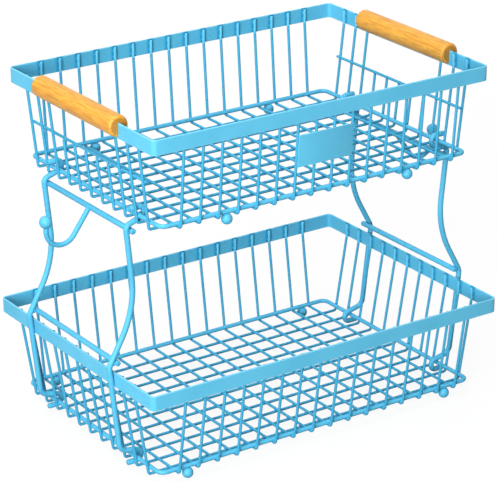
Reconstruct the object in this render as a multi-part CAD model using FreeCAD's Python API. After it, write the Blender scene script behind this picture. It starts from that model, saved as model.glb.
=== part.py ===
import FreeCAD, Part
import math
import os

# Two-tier wire basket: two open wire baskets, the smaller one hung above the larger one
# between two wire stands that hook over the base rods of both.
# Millimetres. X runs left to right along the long side, front is -Y, Z is up, and the
# origin lies on the table under the middle of the basket.

# Rim of the upper basket, outside, and how much larger the lower one is.
upper_length = 350.0
upper_width = 237.0
lower_extra_length = 22.0
lower_extra_width = 21.0

# Heights: underside of the feet to the top of the rim, and table to the upper feet.
upper_height = 93.4
lower_height = 95.0
tier_rise = 223.1

# Flare: how far the outside of the rim stands out past the axis of the base rod.
upper_end_flare = 14.2
upper_side_flare = 12.0
lower_end_flare = 17.7
lower_side_flare = 17.0

# Flat steel band that makes each rim.
band_height = 13.8
band_thickness = 1.5
rim_corner_radius = 4.5

# Base rod, a closed ring that the wires wrap round, and the ball feet under it.
rod_diameter = 4.0
rod_corner_radius = 6.5
foot_diameter = 10.0
foot_seat = 0.6
upper_foot_gap = 3
lower_foot_gap = 1

# Basket wires, each bent to a flat-bottomed U and spot-welded where it crosses others.
wire_diameter = 2.6
wire_top_gap = 1.0
wire_kink_radius = 12.0
length_bend_radius = 2.4
weld_gap = 0.05
cross_wire_count = 16
length_wire_count = 11

# From the axis of the base rod to the first wire that runs beside it.
upper_cross_inset = 17.3
upper_length_inset = 15.0
lower_cross_inset = 17.3
lower_length_inset = 15.5

# Hand holds of the upper basket: a rail that the middle wires stop at, and a wooden grip.
hand_hold_wire_count = 5
grip_rail_drop = 45.3
grip_rail_overhang = 0.3
handle_diameter = 19.0
handle_length = 130.0
handle_rise = 6.5
handle_edge_radius = 2.5
handle_fit = 0.15

# Blank plate on the front wires of the upper basket.
plate_pitches = 3
plate_height = 30.0
plate_thickness = 1.0
plate_drop = 39.6

# Legs of the stands: one bent rod each, with a hook at both ends.
leg_diameter = 5.0
leg_gap_share = 0.72
top_hook_slope = 19.0
bottom_hook_slope = 12.0
hook_clearance = 0.3
hook_headroom = 1.4
hook_bend_inset = 2.3
hook_stub_reach = 6.5
top_bend_reach = 10.9
top_bend_radius = 5.0
waist_inset = 7.9
waist_height_share = 0.39
waist_radius = 89.0
rim_kink_height = 5.5
rim_kink_radius = 12.0
rim_clearance = 0.35
bottom_bend_reach = 13.5
bottom_bend_radius = 9.0

# Cross rails that join the two legs of a stand, welded to the inner side of the legs.
rail_diameter = 5.0
rail_stub = 3.5
top_rail_drop = 5.3
rim_rail_height = 8.5

# Fruit hook on the top rail of each stand, with a ball on its tip.
fruit_hook_diameter = 4.5
fruit_hook_reach = 43.5
fruit_hook_slope = 54.0
fruit_hook_radius = 15.0
fruit_hook_tip_drop = 4.8
hook_ball_diameter = 11.4

# How far cutting tools run past what they cut.
overrun = 5.0

UP = FreeCAD.Vector(0, 0, 1)
ALONG_X = FreeCAD.Vector(1, 0, 0)
ALONG_Y = FreeCAD.Vector(0, 1, 0)
LEFT, RIGHT = -1, 1
FRONT, BACK = -1, 1

wire_radius = wire_diameter / 2
rod_radius = rod_diameter / 2
leg_radius = leg_diameter / 2
wrap_radius = rod_radius + wire_radius + weld_gap


def rounded_path(points, radii):
    """Straight runs through the points, joined by tangent arcs, one radius for each inner point."""
    edges = []
    start = points[0]
    for before, corner, after, radius in zip(points, points[1:], points[2:], radii):
        back_way = (before - corner).normalize()
        on_way = (after - corner).normalize()
        half_angle = back_way.getAngle(on_way) / 2
        reach = radius / math.tan(half_angle)
        middle_way = (back_way + on_way).normalize()
        arc_start = corner + back_way * reach
        arc_middle = corner + middle_way * (radius / math.sin(half_angle) - radius)
        arc_end = corner + on_way * reach
        edges.append(Part.LineSegment(start, arc_start).toShape())
        edges.append(Part.Arc(arc_start, arc_middle, arc_end).toShape())
        start = arc_end
    edges.append(Part.LineSegment(start, points[-1]).toShape())
    return Part.Wire(edges)


def bent_rod(points, radii, diameter):
    """Round rod bent along the points."""
    section = Part.Wire(Part.makeCircle(diameter / 2, points[0], points[1] - points[0]))
    return Part.Solid(rounded_path(points, radii).makePipeShell([section], True, False))


def rounded_rectangle(length, width, radius, height):
    """Closed wire in the plane Z = height, centred on the Z axis, starting on the front run."""
    x = length / 2
    y = width / 2
    corners = [(0, -y), (x, -y), (x, y), (-x, y), (-x, -y), (0, -y)]
    points = [FreeCAD.Vector(across, along, height) for across, along in corners]
    return rounded_path(points, [radius] * (len(points) - 2))


def between(low, high, count):
    """Evenly spaced places from low to high, both included."""
    return [low + (high - low) * index / (count - 1) for index in range(count)]


class WireBasket:
    """Sizes and pieces of one basket, from its outside rim down to its feet."""

    def __init__(self, length, width, height, floor, flares, insets, foot_gap):
        self.length = length
        self.width = width
        self.rim_top = floor + height
        self.band_bottom = self.rim_top - band_height
        self.floor = floor
        self.rod_x = length / 2 - flares[0]
        self.rod_y = width / 2 - flares[1]
        self.rod_z = floor + foot_diameter - foot_seat + rod_radius
        self.cross_z = self.rod_z - wrap_radius
        self.length_z = self.cross_z - wire_diameter - weld_gap
        rim_to_wire = band_thickness + weld_gap + wire_radius
        self.wire_x = length / 2 - rim_to_wire
        self.wire_y = width / 2 - rim_to_wire
        self.end_lean = self.lean(self.wire_x - self.rod_x)
        self.side_lean = self.lean(self.wire_y - self.rod_y)
        cross_end = self.rod_x - insets[0]
        length_end = self.rod_y - insets[1]
        self.cross_places = between(-cross_end, cross_end, cross_wire_count)
        self.length_places = between(-length_end, length_end, length_wire_count)
        self.foot_x = cross_end - (foot_gap - 1 / 2) * self.cross_pitch()

    def cross_pitch(self):
        return self.cross_places[1] - self.cross_places[0]

    def lean(self, stand_out):
        """Angle from upright of a wire that clears the base rod and meets the foot of the band."""
        rise = self.band_bottom - self.rod_z
        return math.atan2(stand_out, rise) - math.asin(wrap_radius / math.hypot(stand_out, rise))

    def end_wire_at(self, height):
        """How far from the middle the axis of an end-wall wire is at a height below the band."""
        return self.wire_x - (self.band_bottom - height) * math.tan(self.end_lean)

    def side_wire_at(self, height):
        """How far from the middle the axis of a side-wall wire is at a height below the band."""
        return self.wire_y - (self.band_bottom - height) * math.tan(self.side_lean)

    def rim_band(self):
        outer = rounded_rectangle(self.length, self.width, rim_corner_radius, self.band_bottom)
        inner = rounded_rectangle(
            self.length - band_thickness * 2,
            self.width - band_thickness * 2,
            rim_corner_radius - band_thickness,
            self.band_bottom - overrun,
        )
        hollow = Part.Face(inner).extrude(UP * (band_height + overrun * 2))
        return Part.Face(outer).extrude(UP * band_height).cut(hollow)

    def base_rod(self):
        path = rounded_rectangle(self.rod_x * 2, self.rod_y * 2, rod_corner_radius, self.rod_z)
        start = FreeCAD.Vector(0, -self.rod_y, self.rod_z)
        section = Part.Wire(Part.makeCircle(rod_radius, start, ALONG_X))
        return Part.Solid(path.makePipeShell([section], True, False))

    def cross_wires(self):
        """Wires from the front wall under the basket to the back wall."""
        top = self.rim_top - wire_top_gap
        foot_y = self.side_wire_at(self.cross_z)
        outline = [(self.wire_y, top), (self.wire_y, self.band_bottom), (foot_y, self.cross_z)]
        radii = [wire_kink_radius, wrap_radius, wrap_radius, wire_kink_radius]
        wires = []
        for x in self.cross_places:
            front = [FreeCAD.Vector(x, -y, z) for y, z in outline]
            back = [FreeCAD.Vector(x, y, z) for y, z in reversed(outline)]
            wires.append(bent_rod(front + back, radii, wire_diameter))
        return Part.Compound(wires)

    def length_wires(self, places):
        """Wires from the left wall under the basket to the right wall, up to the rim."""
        top = self.rim_top - wire_top_gap
        foot_x = self.end_wire_at(self.length_z)
        outline = [(self.wire_x, top), (self.wire_x, self.band_bottom), (foot_x, self.length_z)]
        radii = [wire_kink_radius, length_bend_radius, length_bend_radius, wire_kink_radius]
        return self.lengthwise(places, outline, radii)

    def short_length_wires(self, places, top):
        """Wires from left to right that stop at a height below the band."""
        foot_x = self.end_wire_at(self.length_z)
        outline = [(self.end_wire_at(top), top), (foot_x, self.length_z)]
        return self.lengthwise(places, outline, [length_bend_radius, length_bend_radius])

    def lengthwise(self, places, outline, radii):
        wires = []
        for y in places:
            left = [FreeCAD.Vector(-x, y, z) for x, z in outline]
            right = [FreeCAD.Vector(x, y, z) for x, z in reversed(outline)]
            wires.append(bent_rod(left + right, radii, wire_diameter))
        return Part.Compound(wires)

    def foot(self, side, end):
        """Ball under the base rod, hollowed on top to seat the rod."""
        middle = FreeCAD.Vector(side * self.foot_x, end * self.rod_y, self.floor + foot_diameter / 2)
        ball = Part.makeSphere(foot_diameter / 2, middle)
        seat_start = FreeCAD.Vector(middle.x - foot_diameter, middle.y, self.rod_z)
        seat = Part.makeCylinder(rod_radius + weld_gap, foot_diameter * 2, seat_start, ALONG_X)
        return ball.cut(seat)


upper = WireBasket(
    upper_length,
    upper_width,
    upper_height,
    tier_rise,
    (upper_end_flare, upper_side_flare),
    (upper_cross_inset, upper_length_inset),
    upper_foot_gap,
)
lower = WireBasket(
    upper_length + lower_extra_length,
    upper_width + lower_extra_width,
    lower_height,
    0,
    (lower_end_flare, lower_side_flare),
    (lower_cross_inset, lower_length_inset),
    lower_foot_gap,
)

# The hand holds take the middle wires of each end wall of the upper basket.
first_short = (length_wire_count - hand_hold_wire_count) // 2
short_places = upper.length_places[first_short:first_short + hand_hold_wire_count]
full_places = [y for y in upper.length_places if y not in short_places]
grip_rail_z = upper.rim_top - grip_rail_drop
grip_rail_x = upper.end_wire_at(grip_rail_z) - (wire_diameter + weld_gap) / math.cos(upper.end_lean)

# The legs stand in the gap between the second and third wires of the upper end walls.
outer_gap_wires = upper.length_places[-3:-1]
leg_y = outer_gap_wires[0] + leg_gap_share * (outer_gap_wires[1] - outer_gap_wires[0])


def grip_rail(side):
    """Wire along the inside of an end wall, under the hand hold."""
    half = upper.length_places[-1] + wire_radius + grip_rail_overhang
    start = FreeCAD.Vector(side * grip_rail_x, -half, grip_rail_z)
    return Part.makeCylinder(wire_radius, half * 2, start, ALONG_Y)


def handle(side):
    """Round wooden grip, slotted from below to sit over the band and the wires behind it."""
    band_middle = upper.length / 2 - band_thickness / 2
    axis_z = upper.rim_top + handle_rise - handle_diameter / 2
    start = FreeCAD.Vector(side * band_middle, -handle_length / 2, axis_z)
    bar = Part.makeCylinder(handle_diameter / 2, handle_length, start, ALONG_Y)
    end_edges = [edge for edge in bar.Edges if len(edge.Vertexes) == 1]
    bar = bar.makeFillet(handle_edge_radius, end_edges)
    slot_bottom = axis_z - handle_diameter / 2 - overrun
    slot_outer = upper.length / 2 + handle_fit
    slot_inner = upper.length / 2 - band_thickness - handle_fit
    slot_top = upper.rim_top + handle_fit
    slot_length = handle_length + overrun * 2
    bar = bar.cut(side_box(side, (slot_inner, slot_outer), (0, slot_length), (slot_bottom, slot_top)))
    groove_inner = upper.wire_x - wire_radius - handle_fit
    groove_width = wire_diameter + handle_fit * 2
    for y in full_places:
        groove = side_box(side, (groove_inner, slot_outer), (y, groove_width), (slot_bottom, slot_top))
        bar = bar.cut(groove)
    return bar


def side_box(side, x_span, y_middle_and_width, z_span):
    """Box on the left or right side, given from the middle of the basket outwards."""
    low_x = min(side * x_span[0], side * x_span[1])
    middle_y, width = y_middle_and_width
    corner = FreeCAD.Vector(low_x, middle_y - width / 2, z_span[0])
    return Part.makeBox(x_span[1] - x_span[0], width, z_span[1] - z_span[0], corner)


def label_plate():
    """Flat plate on the outside of the front wires, leaning as they do."""
    length = upper.cross_pitch() * plate_pitches
    middle_z = upper.rim_top - plate_drop
    off_axis = wire_radius + weld_gap
    corner = FreeCAD.Vector(-length / 2, -off_axis - plate_thickness, -plate_height / 2)
    plate = Part.makeBox(length, plate_thickness, plate_height, corner)
    plate.rotate(FreeCAD.Vector(0, 0, 0), ALONG_X, math.degrees(upper.side_lean))
    plate.translate(FreeCAD.Vector(0, -upper.side_wire_at(middle_z), middle_z))
    return plate


class RodHook:
    """Sizes of a hook whose limb slopes inward past a base rod, clear of it.

    The stub comes back level on the far side of the rod, and the bend starts inward of the rod.
    """

    def __init__(self, slope_degrees):
        self.slope = math.radians(slope_degrees)
        self.limb_off = (rod_radius + leg_radius + hook_clearance) / math.cos(self.slope)
        self.stub_off = rod_radius + leg_radius + hook_headroom
        self.corner_inset = (self.limb_off + self.stub_off) / math.tan(self.slope)
        self.bend_radius = (self.corner_inset - hook_bend_inset) * math.tan(self.slope / 2)

    def limb_off_at(self, outward):
        """Distance of the limb's axis from the level of the rod's axis, outward of the rod."""
        return self.limb_off + outward * math.tan(self.slope)


def leg_outline():
    """Points of a leg from the tip of its top hook to the tip of its bottom hook, with bend radii."""
    top = RodHook(top_hook_slope)
    bottom = RodHook(bottom_hook_slope)
    top_bend_x = upper.rod_x + top_bend_reach
    top_bend_z = upper.rod_z - top.limb_off_at(top_bend_reach)
    bottom_bend_x = lower.rod_x + bottom_bend_reach
    bottom_bend_z = lower.rod_z + bottom.limb_off_at(bottom_bend_reach)
    waist_z = lower.rim_top + waist_height_share * (upper.rod_z - lower.rim_top)
    kink_z = lower.rim_top + rim_kink_height
    rim_side_x = lower.length / 2 + leg_radius + rim_clearance
    lean = (rim_side_x - bottom_bend_x) / (lower.band_bottom - bottom_bend_z)
    kink_x = bottom_bend_x + lean * (kink_z - bottom_bend_z)
    points = [
        (upper.rod_x + hook_stub_reach, upper.rod_z + top.stub_off),
        (upper.rod_x - top.corner_inset, upper.rod_z + top.stub_off),
        (top_bend_x, top_bend_z),
        (top_bend_x - waist_inset, waist_z),
        (kink_x, kink_z),
        (bottom_bend_x, bottom_bend_z),
        (lower.rod_x - bottom.corner_inset, lower.rod_z - bottom.stub_off),
        (lower.rod_x + hook_stub_reach, lower.rod_z - bottom.stub_off),
    ]
    radii = [
        top.bend_radius,
        top_bend_radius,
        waist_radius,
        rim_kink_radius,
        bottom_bend_radius,
        bottom.bend_radius,
    ]
    return points, radii


leg_points, leg_radii = leg_outline()
top_bend, waist, kink = leg_points[2:5]
top_rail_z = top_bend[1] - top_rail_drop
rim_rail_z = lower.rim_top + rim_rail_height


def leg_x_at(height, upper_point, lower_point):
    """Place of the leg's axis at a height on the run between two of its points."""
    share = (height - lower_point[1]) / (upper_point[1] - lower_point[1])
    return lower_point[0] + share * (upper_point[0] - lower_point[0])


def rail_x_at(height, upper_point, lower_point):
    """Place of a rail that touches the inner side of the leg's run at a height."""
    tilt = math.atan2(upper_point[0] - lower_point[0], upper_point[1] - lower_point[1])
    off = (leg_radius + rail_diameter / 2 + weld_gap) / math.cos(tilt)
    return leg_x_at(height, upper_point, lower_point) - off


top_rail_x = rail_x_at(top_rail_z, top_bend, waist)
rim_rail_x = rail_x_at(rim_rail_z, waist, kink)


def leg(side, end):
    points = [FreeCAD.Vector(side * x, end * leg_y, z) for x, z in leg_points]
    return bent_rod(points, leg_radii, leg_diameter)


def cross_rail(side, x, height):
    half = leg_y + rail_stub
    start = FreeCAD.Vector(side * x, -half, height)
    return Part.makeCylinder(rail_diameter / 2, half * 2, start, ALONG_Y)


def fruit_hook(side):
    """J-shaped hook, coped at its root to the top rail."""
    drop = fruit_hook_reach * math.tan(math.radians(fruit_hook_slope))
    tip_x = top_rail_x + fruit_hook_reach
    points = [
        FreeCAD.Vector(side * top_rail_x, 0, top_rail_z),
        FreeCAD.Vector(side * tip_x, 0, top_rail_z - drop),
        FreeCAD.Vector(side * tip_x, 0, top_rail_z - fruit_hook_tip_drop),
    ]
    hook = bent_rod(points, [fruit_hook_radius], fruit_hook_diameter)
    start = FreeCAD.Vector(side * top_rail_x, -leg_y, top_rail_z)
    return hook.cut(Part.makeCylinder(rail_diameter / 2 + weld_gap, leg_y * 2, start, ALONG_Y))


def hook_ball(side):
    """Ball on the tip of a fruit hook, bored for it."""
    tip = FreeCAD.Vector(side * (top_rail_x + fruit_hook_reach), 0, top_rail_z - fruit_hook_tip_drop)
    ball = Part.makeSphere(hook_ball_diameter / 2, tip)
    bore = Part.makeCylinder(fruit_hook_diameter / 2 + weld_gap, hook_ball_diameter, tip, UP * -1)
    return ball.cut(bore)


pieces = {
    "upper_rim_band": upper.rim_band(),
    "upper_base_rod": upper.base_rod(),
    "upper_cross_wires": upper.cross_wires(),
    "upper_length_wires": upper.length_wires(full_places),
    "upper_hand_hold_wires": upper.short_length_wires(short_places, grip_rail_z),
    "label_plate": label_plate(),
    "lower_rim_band": lower.rim_band(),
    "lower_base_rod": lower.base_rod(),
    "lower_cross_wires": lower.cross_wires(),
    "lower_length_wires": lower.length_wires(lower.length_places),
}
for side, side_name in ((LEFT, "left"), (RIGHT, "right")):
    pieces[side_name + "_handle"] = handle(side)
    pieces[side_name + "_grip_rail"] = grip_rail(side)
    pieces[side_name + "_top_rail"] = cross_rail(side, top_rail_x, top_rail_z)
    pieces[side_name + "_rim_rail"] = cross_rail(side, rim_rail_x, rim_rail_z)
    pieces[side_name + "_fruit_hook"] = fruit_hook(side)
    pieces[side_name + "_hook_ball"] = hook_ball(side)
    for end, end_name in ((FRONT, "front"), (BACK, "back")):
        pieces[side_name + "_" + end_name + "_leg"] = leg(side, end)
        pieces["upper_" + end_name + "_" + side_name + "_foot"] = upper.foot(side, end)
        pieces["lower_" + end_name + "_" + side_name + "_foot"] = lower.foot(side, end)

os.makedirs("parts", exist_ok=True)
for name, shape in pieces.items():
    shape.exportStep(os.path.join("parts", name + ".step"))
    print(name, "solids", len(shape.Solids), "valid", shape.isValid(), "volume", round(shape.Volume, 1))
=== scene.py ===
"""Looks of a two-tier wire basket with wooden grips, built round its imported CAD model.

Sizes of the basket are in millimetres, and become metres where a mesh is made.
"""

import logging
import math
from dataclasses import dataclass, field
from enum import Enum
from functools import partial
from itertools import chain
from typing import Any, Callable, Mapping, Optional, Sequence

import bpy
import numpy as np
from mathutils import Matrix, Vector


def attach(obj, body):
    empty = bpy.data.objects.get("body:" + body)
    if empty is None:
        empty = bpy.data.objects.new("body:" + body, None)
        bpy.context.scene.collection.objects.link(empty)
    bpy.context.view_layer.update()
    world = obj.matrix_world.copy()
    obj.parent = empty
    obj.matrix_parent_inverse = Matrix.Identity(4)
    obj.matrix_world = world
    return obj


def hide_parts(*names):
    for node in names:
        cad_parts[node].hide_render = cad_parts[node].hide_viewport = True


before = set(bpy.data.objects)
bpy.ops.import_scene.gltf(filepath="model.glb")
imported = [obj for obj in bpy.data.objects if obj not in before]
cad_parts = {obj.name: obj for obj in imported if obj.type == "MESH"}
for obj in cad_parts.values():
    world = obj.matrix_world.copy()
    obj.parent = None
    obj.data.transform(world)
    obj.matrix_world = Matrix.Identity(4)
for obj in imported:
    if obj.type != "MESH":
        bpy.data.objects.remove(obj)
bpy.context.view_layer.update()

LOG = logging.getLogger("wire_basket")
Array = np.ndarray
Numbers = Array | float
Pair = tuple[float, float]
Stops = tuple[float, ...]
Point = tuple[float, float, float]
Path = Sequence[Sequence[float]]
Adder = Callable[..., bpy.types.Node]

METRES_PER_MM = 0.001
BODY = "root"
WHITE = "#FFFFFF"
X_WAY, Y_WAY, Z_WAY = np.eye(3)
BOTH_SIGNS = np.array([[-1.0], [1.0]])

# Steps of the meshes: round a section, along a bend and over an edge.
WIRE_SIDES = 14
ROD_SIDES = 18
BAR_SIDES = 20
WIRE_BEND_STEPS = 8
RIM_BEND_STEPS = 10
BAR_BEND_STEPS = 14
CURL_STEPS = 28
EDGE_STEPS = 4
CUT_STEPS = 4

# Rings and columns of the balls.
BALL_GRID = (22, 32)
BEAD_GRID = (3, 8)

# Share of painted shade on a weld bead, standing in for the shade in the crevices at the joints.
BEAD_SHADE_SHARE = 0.55

# Edges that turn further than this stay sharp.
SHARP_DEGREES = 50.0

# Inputs of a Mix node that mixes colours.
FACTOR, FIRST, SECOND = 0, 6, 7

# Phase of a Wave node, in radians for each unit of scaled length.
WAVE_PHASE = 20.0


class Half(Enum):
    """Half of the basket, with the sign of its coordinate."""

    @property
    def word(self) -> str:
        """Name used in piece names."""
        return self.name.lower()


class Side(Half):
    """End of the basket, with the sign of its X."""

    LEFT = -1
    RIGHT = 1


class Face(Half):
    """Long side of the basket, with the sign of its Y."""

    FRONT = -1
    BACK = 1


class Slot(Enum):
    """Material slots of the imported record."""

    COAT = "blue_coat"
    WOOD = "handle_wood"


class Bead(Enum):
    """Weld metal at each kind of joint, as half sizes along X, Y and Z."""

    CROSSING = (1.62, 1.62, 0.7)
    ROD_SIDE = (1.9, 1.1, 1.1)
    ROD_END = (0.7, 1.8, 1.8)
    RIM_SIDE = (1.75, 0.55, 1.7)
    RIM_END = (0.55, 1.75, 1.7)
    FOOT = (2.9, 2.3, 0.8)
    GRIP_WIRE = (0.7, 1.6, 1.4)
    LEG = (0.9, 2.7, 2.7)
    HOOK_ROOT = (2.1, 2.9, 2.1)
    HOOK_TIP = (2.9, 2.9, 0.9)


# Finishes


def srgb(code: str) -> tuple[float, float, float, float]:
    """Turn an sRGB hex colour to linear light.

    Args:
        code: Colour as "#RRGGBB".

    Returns:
        Red, green, blue and alpha, each from 0 to 1.
    """
    values = np.array([int(code[at:at + 2], 16) for at in (1, 3, 5)]) / 255.0
    linear = np.where(values <= 0.04045, values / 12.92, ((values + 0.055) / 1.055) ** 2.4)
    return (*(float(v) for v in linear), 1.0)


def add_node(
    tree: bpy.types.NodeTree, kind: str, settings: Optional[Mapping[Any, Any]] = None
) -> bpy.types.Node:
    """Add a shader node with its settings and its incoming links.

    Args:
        tree: Node tree that takes the node.
        kind: Blender's type name of the node, without its leading ShaderNode.
        settings: Value of each property, and of each input by name or number. A socket is linked to
            the input, and a node is linked from its first output in use. For a colour ramp, "stops"
            gives the place and hex colour of each stop in rising order.

    Returns:
        The new node.
    """
    node = tree.nodes.new("ShaderNode" + kind)
    for key, value in (settings or {}).items():
        if isinstance(value, bpy.types.Node):
            value = next(socket for socket in value.outputs if socket.enabled)
        if isinstance(value, bpy.types.NodeSocket):
            tree.links.new(value, node.inputs[key])
        elif key == "stops":
            elements = node.color_ramp.elements
            for end in (0, -1):
                elements[end].position, elements[end].color = value[end][0], srgb(value[end][1])
            for place, colour in value[1:-1]:
                elements.new(place).color = srgb(colour)
        elif isinstance(key, int) or (key in node.inputs and not hasattr(node, key)):
            node.inputs[key].default_value = value
        else:
            setattr(node, key, value)
    return node


def fresh_tree(owner: bpy.types.Material | bpy.types.World) -> Adder:
    """Give a material or a sky an empty node tree.

    Args:
        owner: The material or the sky.

    Returns:
        The function add_node for this tree.
    """
    owner.use_nodes = True
    owner.node_tree.nodes.clear()
    return partial(add_node, owner.node_tree)


def per_metre(size_mm: float) -> float:
    """Texture scale at which one feature is size_mm across, on coordinates in metres."""
    return 1.0 / (size_mm * METRES_PER_MM)


@dataclass(frozen=True)
class Skin:
    """Satin film over a surface, with uneven gloss and a fine relief."""

    name: str
    roughness: Pair
    relief_mm: float
    relief_strength: float
    ior: float = 1.5
    specular_level: float = 0.5

    def cover(
        self, add: Adder, colour: bpy.types.Node, gloss: bpy.types.Node, relief: bpy.types.Node
    ) -> None:
        """Lay the film over a colour and end the tree.

        Args:
            add: The function add_node for the tree.
            colour: Colour of the surface.
            gloss: Noise that goes from the smooth to the rough limit.
            relief: Noise that gives the height.
        """
        smooth, rough = self.roughness
        height = {"Strength": self.relief_strength, "Distance": self.relief_mm * METRES_PER_MM}
        film = add("BsdfPrincipled", {
            "IOR": self.ior,
            "Specular IOR Level": self.specular_level,
            "Base Color": colour,
            "Roughness": add("MapRange", {"To Min": smooth, "To Max": rough, "Value": gloss}),
            "Normal": add("Bump", {**height, "Height": relief}),
        })
        add("OutputMaterial", {"Surface": film})


@dataclass(frozen=True)
class PowderCoat(Skin):
    """Polyester powder coat, sprayed dry on the welded basket and baked.

    It melts to a satin skin about 0.08 mm thick with a soft orange-peel ripple, and matting agents
    keep its shine low. It draws thin over sharp edges, where a lighter line shows. A deeper blue is
    mixed into its colour as painted shade: on thin wire below the band, on rods, legs and balls, at
    welds, along the wires on the inner faces of the rim and over those faces, and on undersides.
    """

    name: str = "sky_blue_powder_coat"
    colour: str = "#62C0E2"
    cloud: str = "#5DBBDE"
    thin: str = "#79CBE8"
    # Colour of the painted shade, which stands in for shade on wires, welds, seams and undersides.
    pooled: str = "#1E90B9"
    cloud_mm: float = 38.0
    cloud_stops: Stops = (0.38, 0.62)
    ripple_mm: float = 1.7
    relief_mm: float = 0.035
    relief_strength: float = 0.35
    # The pits of the powder are about 0.1 mm across, and are drawn coarser so that they show.
    grit_mm: float = 2.4
    soft_octaves: float = 2.0
    grit_octaves: float = 1.0
    # Share of the painted shade on faces that look down.
    underside_shade_share: float = 0.45
    roughness: Pair = (0.38, 0.5)
    specular_level: float = 0.2

    def material(self) -> bpy.types.Material:
        """Build the coat of three noises: clouds in its colour, ripple in its relief, grit in its gloss,
        with painted shade mixed in from the mesh's values.

        Returns:
            The material.
        """
        material = bpy.data.materials.new(self.name)
        add = fresh_tree(material)
        where = add("TexCoord").outputs["Object"]
        clouds, ripple, grit = (
            add("TexNoise", {"Scale": per_metre(size), "Detail": octaves, "Vector": where})
            for size, octaves in (
                (self.cloud_mm, self.soft_octaves),
                (self.ripple_mm, self.soft_octaves),
                (self.grit_mm, self.grit_octaves),
            )
        )
        thin, pooled, underside = (
            add("Attribute", {"attribute_name": name}).outputs["Fac"]
            for name in ("thin_coat", "pooled_coat", "underside")
        )
        stops = list(zip(self.cloud_stops, (self.cloud, self.colour)))
        colour = add("ValToRGB", {"stops": stops, "Fac": clouds})
        # Painted shade: the darker colour is mixed in on undersides and where the mesh's value asks for it.
        underside_shade = {"operation": "MULTIPLY_ADD", "use_clamp": True, 1: self.underside_shade_share}
        shade_share = add("Math", {**underside_shade, 0: underside, 2: pooled})
        for factor, shade in ((thin, self.thin), (shade_share, self.pooled)):
            colour = add("Mix", {"data_type": "RGBA", FACTOR: factor, FIRST: colour, SECOND: srgb(shade)})
        self.cover(add, colour, grit, ripple)
        return material


@dataclass(frozen=True)
class GripWood(Skin):
    """Beech, turned to a bar, sanded and clear-lacquered.

    The growth layers stand upright in the bar and show as straight lines along it, fibres as fine
    streaks, and the pores as short dark dashes. The end grain drinks the lacquer and looks darker.
    """

    name: str = "lacquered_beech"
    light: str = "#E6A842"
    middle: str = "#DB9934"
    dark: str = "#BE8029"
    pore: str = "#8A5A18"
    end_grain: str = "#A8701C"
    layer_mm: float = 2.2
    layer_stops: Stops = (0.2, 0.6, 0.95)
    waver: float = 3.0
    waver_octaves: float = 2.0
    waver_scale: float = 1.2
    # The long side is drawn in, so that the waver of a layer is as long as the bar.
    waver_drawn_share: float = 0.05
    fibre_mm: float = 1.6
    fibre_length_mm: float = 15.0
    fibre_octaves: float = 4.0
    fibre_stops: Stops = (0.36, 0.5, 0.64)
    fibre_share: float = 0.72
    relief_mm: float = 0.05
    relief_strength: float = 0.5
    # Real pores are about 0.1 mm wide and 1 mm long, and are drawn coarser so that they show.
    pore_mm: float = 0.9
    pore_length_mm: float = 7.0
    pore_octaves: float = 1.0
    pore_limits: Pair = (0.66, 0.78)
    pore_share: float = 0.55
    tilt_degrees: float = 1.2
    roughness: Pair = (0.4, 0.56)

    def material(self) -> bpy.types.Material:
        """Build the wood: upright layers across the bar, stretched noise for fibres and pores.

        Returns:
            The material.
        """
        material = bpy.data.materials.new(self.name)
        add = fresh_tree(material)
        layers = add("TexWave", {
            "bands_direction": "X",
            "Scale": 2.0 * math.pi / WAVE_PHASE * per_metre(self.layer_mm),
            "Distortion": self.waver,
            "Detail": self.waver_octaves,
            "Detail Scale": self.waver_scale,
            "Vector": self.drawn(add, 1.0, self.waver_drawn_share),
        }).outputs["Fac"]
        fibres, pores = (
            add("TexNoise", {
                "Scale": 1.0,
                "Detail": octaves,
                "Vector": self.drawn(add, per_metre(width), per_metre(length)),
            })
            for width, length, octaves in (
                (self.fibre_mm, self.fibre_length_mm, self.fibre_octaves),
                (self.pore_mm, self.pore_length_mm, self.pore_octaves),
            )
        )
        shades = (self.light, self.middle, self.dark)
        bands = add("ValToRGB", {"stops": list(zip(self.layer_stops, shades)), "Fac": layers})
        streaks = add("ValToRGB", {"stops": list(zip(self.fibre_stops, shades[::-1])), "Fac": fibres})
        colour = add("Mix", {"data_type": "RGBA", FACTOR: self.fibre_share, FIRST: bands, SECOND: streaks})
        shallow, deep = self.pore_limits
        dashes = {"From Min": shallow, "From Max": deep, "To Max": self.pore_share}
        mask = add("MapRange", {**dashes, "Value": pores})
        ends = add("Attribute", {"attribute_name": "end_grain"}).outputs["Fac"]
        for factor, shade in ((mask, self.pore), (ends, self.end_grain)):
            colour = add("Mix", {"data_type": "RGBA", FACTOR: factor, FIRST: colour, SECOND: srgb(shade)})
        self.cover(add, colour, fibres, fibres)
        return material

    def drawn(self, add: Adder, across: float, along: float) -> bpy.types.Node:
        """Scale the object's coordinates across and along the grain, which runs slightly askew.

        Args:
            add: The function add_node for the tree.
            across: Scale across the bar.
            along: Scale along the bar.

        Returns:
            Node with the scaled coordinates.
        """
        askew = (0.0, 0.0, math.radians(self.tilt_degrees))
        where = add("TexCoord").outputs["Object"]
        return add("Mapping", {"Scale": (across, along, across), "Rotation": askew, "Vector": where})


# Surfaces


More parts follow.
